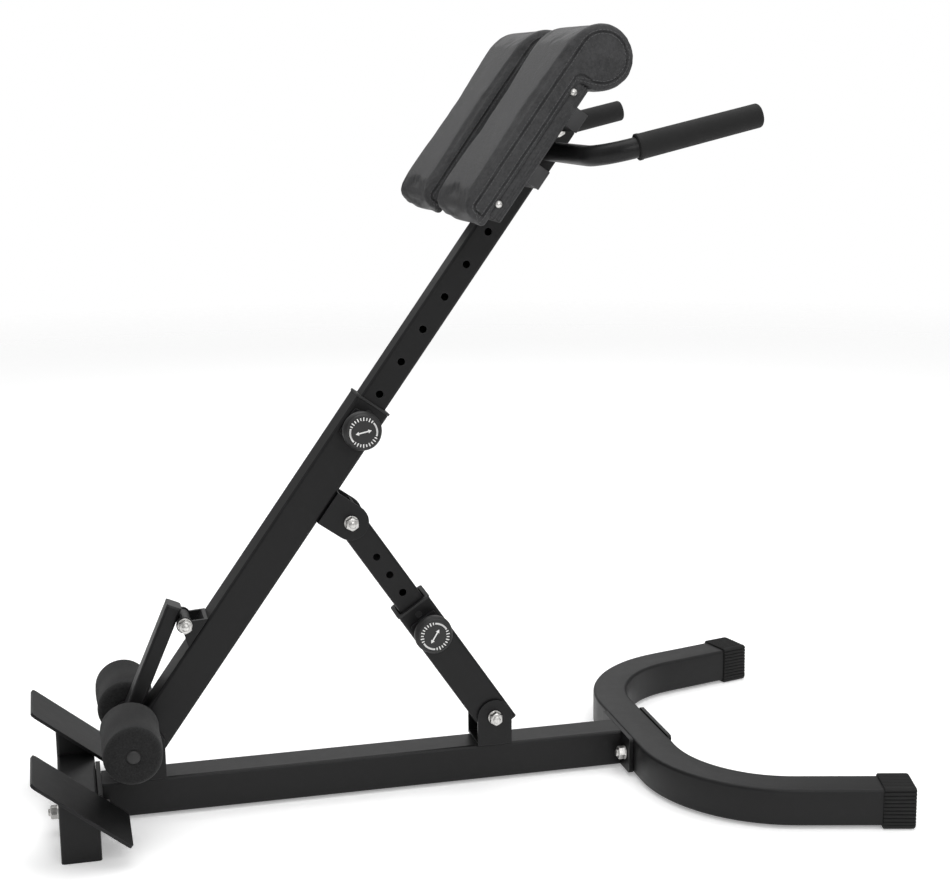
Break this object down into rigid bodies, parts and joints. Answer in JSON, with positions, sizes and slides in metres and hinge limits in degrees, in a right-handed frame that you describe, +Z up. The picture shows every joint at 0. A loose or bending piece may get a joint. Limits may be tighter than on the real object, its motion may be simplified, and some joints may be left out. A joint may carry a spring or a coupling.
{
  "type": "roman chair",
  "caption": "Back extension bench with sliding hip pads on a tilting post, a pinned telescopic strut, ankle rollers, foot plates, hand grips and a flared floor foot.",
  "frame": {"origin": "under the middle of the whole bench, on the floor", "axes": "+X from the foot plates towards the hand grips, +Y to the left of a person standing on the foot plates, +Z up"},
  "size_m": [1.1168, 0.6532, 1.0169],
  "materials": {
    "black_paint": "satin black powder coat",
    "black_plastic": "moulded, fine grain",
    "zinc": "bright zinc plate",
    "black_rubber": "moulded",
    "black_vinyl": "grained synthetic leather with double seams",
    "black_board": "stained plywood",
    "black_foam": "closed-cell foam"
  },
  "bodies": {
    "base": {"main_beam": "black_paint", "rear_flange": "black_paint", "front_flange": "black_paint", "front_u_tube": "black_paint", "backing_plate": "black_paint", "end_cap_left": "black_rubber", "end_cap_right": "black_rubber", "front_bolt_left": "zinc", "front_bolt_right": "zinc", "rear_cross_tube": "black_paint", "foot_leg_left": "black_paint", "foot_leg_right": "black_paint", "foot_plate_left": "black_paint", "foot_plate_right": "black_paint", "rear_bolt_left": "zinc", "rear_bolt_right": "zinc", "post_bracket": "black_paint", "strut_bracket": "black_paint", "post_pivot_bolt": "zinc", "strut_foot_bolt": "zinc"},
    "post": {"outer_post": "black_paint", "outer_post_plug": "black_plastic", "post_collar": "black_plastic", "post_boss": "black_paint", "strut_head_bracket": "black_paint", "strut_head_bolt": "zinc", "arm_bracket": "black_paint", "arm_pivot_bolt": "zinc"},
    "post_lock": {"post_knob": "black_plastic", "post_pin": "zinc"},
    "mast": {"inner_post": "black_paint", "inner_post_plug": "black_plastic", "lower_crossbar": "black_paint", "upper_crossbar": "black_paint", "pad_board_left": "black_board", "pad_board_right": "black_board", "pad_left": "black_vinyl", "pad_right": "black_vinyl", "handlebar": "black_paint", "grip_left": "black_rubber", "grip_right": "black_rubber", "handle_saddle": "black_paint", "saddle_bolt": "zinc"},
    "strut_lower": {"strut_outer_tube": "black_paint", "strut_collar": "black_plastic", "strut_boss": "black_paint"},
    "strut_lock": {"strut_knob": "black_plastic", "strut_pin": "zinc"},
    "strut_upper": {"strut_inner_tube": "black_paint", "strut_spacer_left": "black_plastic", "strut_spacer_right": "black_plastic"},
    "roller_arm": {"roller_arm": "black_paint", "arm_plug": "black_plastic", "arm_sleeve": "black_paint", "roller_axle": "black_paint"},
    "roller_left": {"roller_foam_left": "black_foam", "roller_hub_left": "black_plastic"},
    "roller_right": {"roller_foam_right": "black_foam", "roller_hub_right": "black_plastic"}
  },
  "joints": [
    {"name": "post_incline", "type": "hinge", "parent": "base", "child": "post", "pos_m": [-0.41133, 0, 0.1017], "axis": [0, 1, 0], "range_deg": [0, 13.5]},
    {"name": "strut_base_turn", "type": "hinge", "parent": "base", "child": "strut_lower", "pos_m": [0.06067, 0, 0.0946], "axis": [0, 1, 0], "range_deg": [0, 2.2]},
    {"name": "strut_head_turn", "type": "hinge", "parent": "post", "child": "strut_upper", "pos_m": [-0.13243, 0, 0.38389], "axis": [0, 1, 0], "range_deg": [-11.6, 0]},
    {"name": "post_height", "type": "slide", "parent": "post", "child": "mast", "axis": [0.5821, 0, 0.8131], "range_m": [-0.306, 0]},
    {"name": "post_knob_pull", "type": "slide", "parent": "post", "child": "post_lock", "axis": [0, -1, 0], "range_m": [0, 0.01], "stiffness_N_per_m": 800},
    {"name": "strut_knob_pull", "type": "slide", "parent": "strut_lower", "child": "strut_lock", "axis": [0, -1, 0], "range_m": [0, 0.01], "stiffness_N_per_m": 800},
    {"name": "arm_swing", "type": "hinge", "parent": "post", "child": "roller_arm", "pos_m": [-0.35446, 0, 0.26084], "axis": [0, 1, 0], "range_deg": [0, 95]},
    {"name": "roller_left_spin", "type": "hinge", "parent": "roller_arm", "child": "roller_left", "pos_m": [-0.43284, 0.0877, 0.13143], "axis": [0, 1, 0], "continuous": true},
    {"name": "roller_right_spin", "type": "hinge", "parent": "roller_arm", "child": "roller_right", "pos_m": [-0.43284, -0.0877, 0.13143], "axis": [0, 1, 0], "continuous": true}
  ],
  "couplings": [
    {"joint": "strut_base_turn", "follows": "post_incline", "ratio": 0.152},
    {"joint": "strut_head_turn", "follows": "post_incline", "ratio": -0.848}
  ]
}
